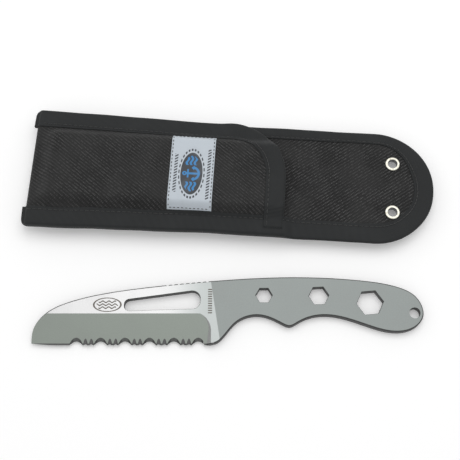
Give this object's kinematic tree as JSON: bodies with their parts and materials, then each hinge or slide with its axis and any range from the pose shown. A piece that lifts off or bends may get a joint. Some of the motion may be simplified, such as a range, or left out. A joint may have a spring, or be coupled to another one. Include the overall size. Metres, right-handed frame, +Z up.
{
  "type": "rigging knife",
  "caption": "Fixed-blade rigging knife in one piece of steel, with serrated edge, shackle key slot and hexagonal wrench openings, beside its padded nylon belt sheath.",
  "frame": {"origin": "middle of the layout's box, on the surface that knife and sheath lie on", "axes": "+X from the blade's tip to the lanyard hole, +Y from the knife to the sheath, +Z up"},
  "size_m": [0.2278, 0.1362, 0.0182],
  "materials": {
    "knife_steel": "bead-blasted grip and bevel, satin flat",
    "ballistic_nylon": "coarse black weave",
    "lining_cloth": "smooth black knit",
    "foam": "black closed-cell foam sheet",
    "guard_plastic": "black sheet plastic",
    "binding_tape": "fine ribbed black tape",
    "thread": "bonded black thread",
    "label_satin": "silver woven satin",
    "webbing": "flat black webbing",
    "plated_brass": "bright nickel plate"
  },
  "bodies": {
    "sheath": {"shell_cloth": "ballistic_nylon", "front_foam": "foam", "front_lining": "lining_cloth", "back_foam": "foam", "back_lining": "ballistic_nylon", "seam_welt": "binding_tape", "blade_guard": "guard_plastic", "edge_binding": "binding_tape", "mouth_binding": "binding_tape", "edge_thread": "thread", "mouth_thread": "thread", "woven_label": "label_satin", "label_thread": "thread", "belt_loop": "webbing", "belt_loop_thread": "thread", "near_eyelet": "plated_brass", "near_eyelet_washer": "plated_brass", "far_eyelet": "plated_brass", "far_eyelet_washer": "plated_brass"},
    "knife": {"knife": "knife_steel"}
  },
  "joints": [
    {"name": "knife_lift", "type": "slide", "parent": "sheath", "child": "knife", "axis": [0, 0, 1], "range_m": [0, 0.12]}
  ]
}
